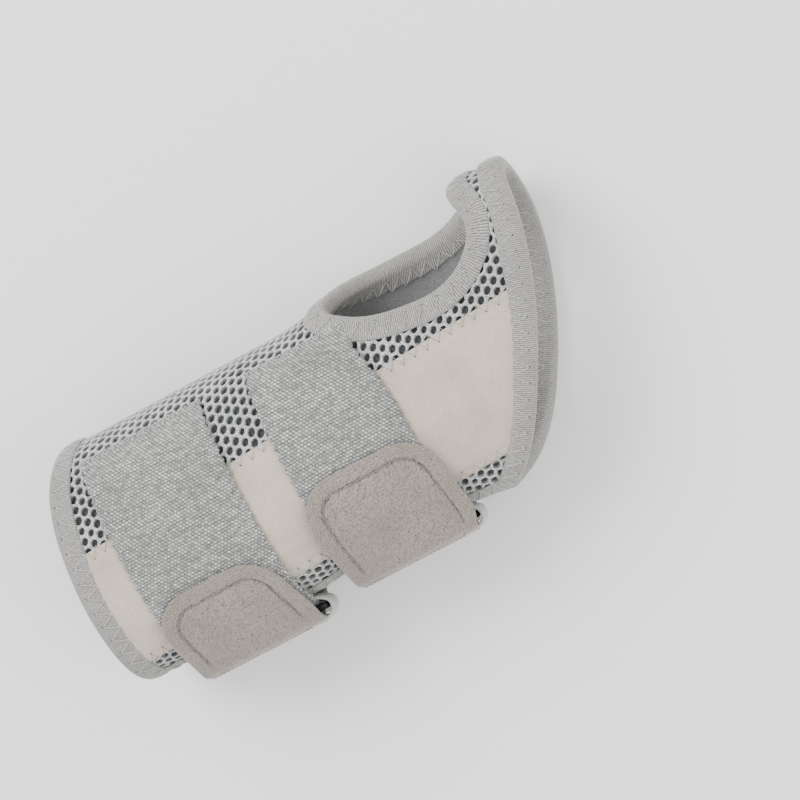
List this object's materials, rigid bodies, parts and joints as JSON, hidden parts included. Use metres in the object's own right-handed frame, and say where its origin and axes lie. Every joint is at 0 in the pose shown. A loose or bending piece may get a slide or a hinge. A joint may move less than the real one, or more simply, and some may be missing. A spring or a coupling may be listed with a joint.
{
  "type": "wrist splint",
  "caption": "Wrap-round mesh wrist splint with a stiffened palm panel, a thumb opening and hook tabs folded through rings.",
  "frame": {"origin": "middle of the splint's length, under the forearm's middle line, on the flat of the back that it rests on", "axes": "+X along the forearm towards the fingers, +Y towards the thumb side, +Z out of the palm"},
  "size_m": [0.1553, 0.0898, 0.0497],
  "materials": {
    "air_mesh": "knitted spacer mesh, matt",
    "lining_knit": "soft brushed knit",
    "binding_tape": "ribbed elastic tape",
    "panel_cloth": "suede-like brushed cloth",
    "elastic_web": "knitted elastic webbing",
    "tab_cloth": "brushed loop cloth",
    "hook_tape": "fine nylon hooks",
    "keeper_web": "woven webbing",
    "ring_plastic": "moulded nylon, satin",
    "stay_metal": "satin",
    "cap_vinyl": "dipped vinyl",
    "thread": "sewing thread"
  },
  "bodies": {
    "sleeve": {"mesh_shell": "air_mesh", "lining": "lining_knit", "edge_binding": "binding_tape", "thumb_binding": "binding_tape", "palm_panel": "panel_cloth", "palm_stay": "stay_metal", "palm_stay_caps": "cap_vinyl", "lower_elastic_strap": "elastic_web", "lower_ring_keeper": "keeper_web", "lower_strap_seam": "thread", "upper_elastic_strap": "elastic_web", "upper_ring_keeper": "keeper_web", "upper_strap_seam": "thread"},
    "lower_ring": {"lower_ring": "ring_plastic"},
    "lower_tab": {"lower_tab": "tab_cloth", "lower_hook_patch": "hook_tape", "lower_tab_stitching": "thread"},
    "upper_ring": {"upper_ring": "ring_plastic"},
    "upper_tab": {"upper_tab": "tab_cloth", "upper_hook_patch": "hook_tape", "upper_tab_stitching": "thread"}
  },
  "joints": [
    {"name": "lower_tab_peel", "type": "hinge", "parent": "sleeve", "child": "lower_tab", "pos_m": [-0.04125, -0.0373, 0.027], "axis": [1, 0, 0], "range_deg": [0, 90]},
    {"name": "lower_ring_rock", "type": "hinge", "parent": "sleeve", "child": "lower_ring", "pos_m": [-0.04125, -0.0373, 0.0185], "axis": [1, 0, 0], "range_deg": [-2.5, 2.5]},
    {"name": "upper_tab_peel", "type": "hinge", "parent": "sleeve", "child": "upper_tab", "pos_m": [0.00905, -0.0342, 0.027], "axis": [1, 0, 0], "range_deg": [0, 90]},
    {"name": "upper_ring_rock", "type": "hinge", "parent": "sleeve", "child": "upper_ring", "pos_m": [0.00905, -0.0342, 0.0185], "axis": [1, 0, 0], "range_deg": [-2.5, 2.5]}
  ]
}
